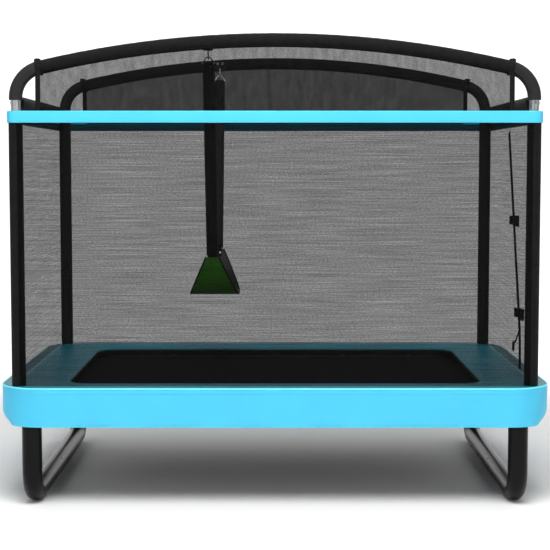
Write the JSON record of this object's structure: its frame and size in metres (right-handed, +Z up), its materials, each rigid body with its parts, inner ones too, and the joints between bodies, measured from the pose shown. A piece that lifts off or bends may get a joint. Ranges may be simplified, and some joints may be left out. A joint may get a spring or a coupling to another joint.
{
  "type": "trampoline",
  "caption": "Rectangular children's trampoline on U legs with a padded rim, net enclosure under two arches, zip door and a belt swing.",
  "frame": {"origin": "middle of the bed's plan, on the floor under the legs", "axes": "+X along the long side of the bed, +Y from the front long side to the back, +Z up"},
  "size_m": [1.905, 1.27, 1.6144],
  "materials": {
    "black_coat": "gloss black powder coat",
    "frame_steel": "satin black powder coat",
    "zinc_steel": "bright zinc plate",
    "corner_coat": "satin grey-black powder coat",
    "foam": "black foam sleeve with a fine fabric skin",
    "arch_fabric": "black woven sleeve",
    "net": "fine knitted mesh",
    "hem": "black webbing",
    "blue_vinyl": "glossy coated fabric",
    "mat": "woven polypropylene",
    "green_belt": "soft moulded belt",
    "black_plastic": "moulded"
  },
  "bodies": {
    "frame": {"arch_sleeve_back": "arch_fabric", "arch_sleeve_front": "arch_fabric", "arch_tube_back": "zinc_steel", "arch_tube_front": "zinc_steel", "buckle_sockets": "black_plastic", "corner_tube_back_left": "corner_coat", "corner_tube_back_right": "corner_coat", "corner_tube_front_left": "corner_coat", "corner_tube_front_right": "corner_coat", "door_straps": "hem", "frame_bolts": "zinc_steel", "frame_corner_back_left": "frame_steel", "frame_corner_back_right": "frame_steel", "frame_corner_front_left": "frame_steel", "frame_corner_front_right": "frame_steel", "frame_rail_back": "frame_steel", "frame_rail_front": "frame_steel", "frame_rail_left": "frame_steel", "frame_rail_right": "frame_steel", "leg_left_back": "black_coat", "leg_left_front": "black_coat", "leg_right_back": "black_coat", "leg_right_front": "black_coat", "mat_springs": "zinc_steel", "net_back": "net", "net_front": "net", "net_hems": "hem", "net_left": "net", "net_right": "net", "net_upper_back": "net", "net_upper_front": "net", "pole_back_left": "zinc_steel", "pole_back_right": "zinc_steel", "pole_foams": "foam", "pole_front_left": "zinc_steel", "pole_front_right": "zinc_steel", "safety_pad": "blue_vinyl", "side_bar_foams": "foam", "side_bar_left": "zinc_steel", "side_bar_right": "zinc_steel", "swing_hangers": "frame_steel", "top_band": "blue_vinyl", "zipper_tape": "hem"},
    "mat": {"jump_mat": "mat", "mat_rings": "zinc_steel"},
    "swing": {"swing_hooks": "zinc_steel", "swing_links": "zinc_steel", "swing_sleeve_back": "foam", "swing_sleeve_front": "foam", "swing_webbing": "hem", "swing_seat": "green_belt"},
    "gate_back": {"hook_gate_back": "zinc_steel"},
    "gate_front": {"hook_gate_front": "zinc_steel"},
    "button_left": {"leg_button_left": "zinc_steel"},
    "button_right": {"leg_button_right": "zinc_steel"},
    "slider": {"zipper_slider": "zinc_steel"},
    "pull": {"zipper_pull": "black_plastic"},
    "plug_upper": {"buckle_plug_upper": "black_plastic"},
    "plug_lower": {"buckle_plug_lower": "black_plastic"}
  },
  "joints": [
    {"name": "mat_bounce", "type": "slide", "parent": "frame", "child": "mat", "axis": [0, 0, 1], "range_m": [-0.15, 0], "stiffness_N_per_m": 4200, "deforming": ["mat_springs"]},
    {"name": "swing_swing", "type": "hinge", "parent": "frame", "child": "swing", "pos_m": [-0.228, 0, 1.56733], "axis": [0, 1, 0], "range_deg": [-35, 35]},
    {"name": "gate_back_open", "type": "hinge", "parent": "swing", "child": "gate_back", "pos_m": [-0.228, 0.51361, 1.54693], "axis": [-1, 0, 0], "range_deg": [0, 25], "stiffness_Nm_per_rad": 0.05},
    {"name": "gate_front_open", "type": "hinge", "parent": "swing", "child": "gate_front", "pos_m": [-0.228, -0.51361, 1.54693], "axis": [1, 0, 0], "range_deg": [0, 25], "stiffness_Nm_per_rad": 0.05},
    {"name": "button_left_press", "type": "slide", "parent": "frame", "child": "button_left", "axis": [-0.766, 0, -0.6428], "range_m": [0, 0.005], "stiffness_N_per_m": 1500},
    {"name": "button_right_press", "type": "slide", "parent": "frame", "child": "button_right", "axis": [0.766, 0, -0.6428], "range_m": [0, 0.005], "stiffness_N_per_m": 1500},
    {"name": "zip_run", "type": "slide", "parent": "frame", "child": "slider", "axis": [0, 0.3699, 0.9291], "range_m": [0, 0.6]},
    {"name": "pull_flip", "type": "hinge", "parent": "slider", "child": "pull", "pos_m": [0.9094, -0.13652, 0.68736], "axis": [0, -0.9291, 0.3699], "range_deg": [0, 150]},
    {"name": "plug_upper_release", "type": "slide", "parent": "frame", "child": "plug_upper", "axis": [0, 1, 0], "range_m": [0, 0.029]},
    {"name": "plug_lower_release", "type": "slide", "parent": "frame", "child": "plug_lower", "axis": [0, 1, 0], "range_m": [0, 0.029]}
  ]
}
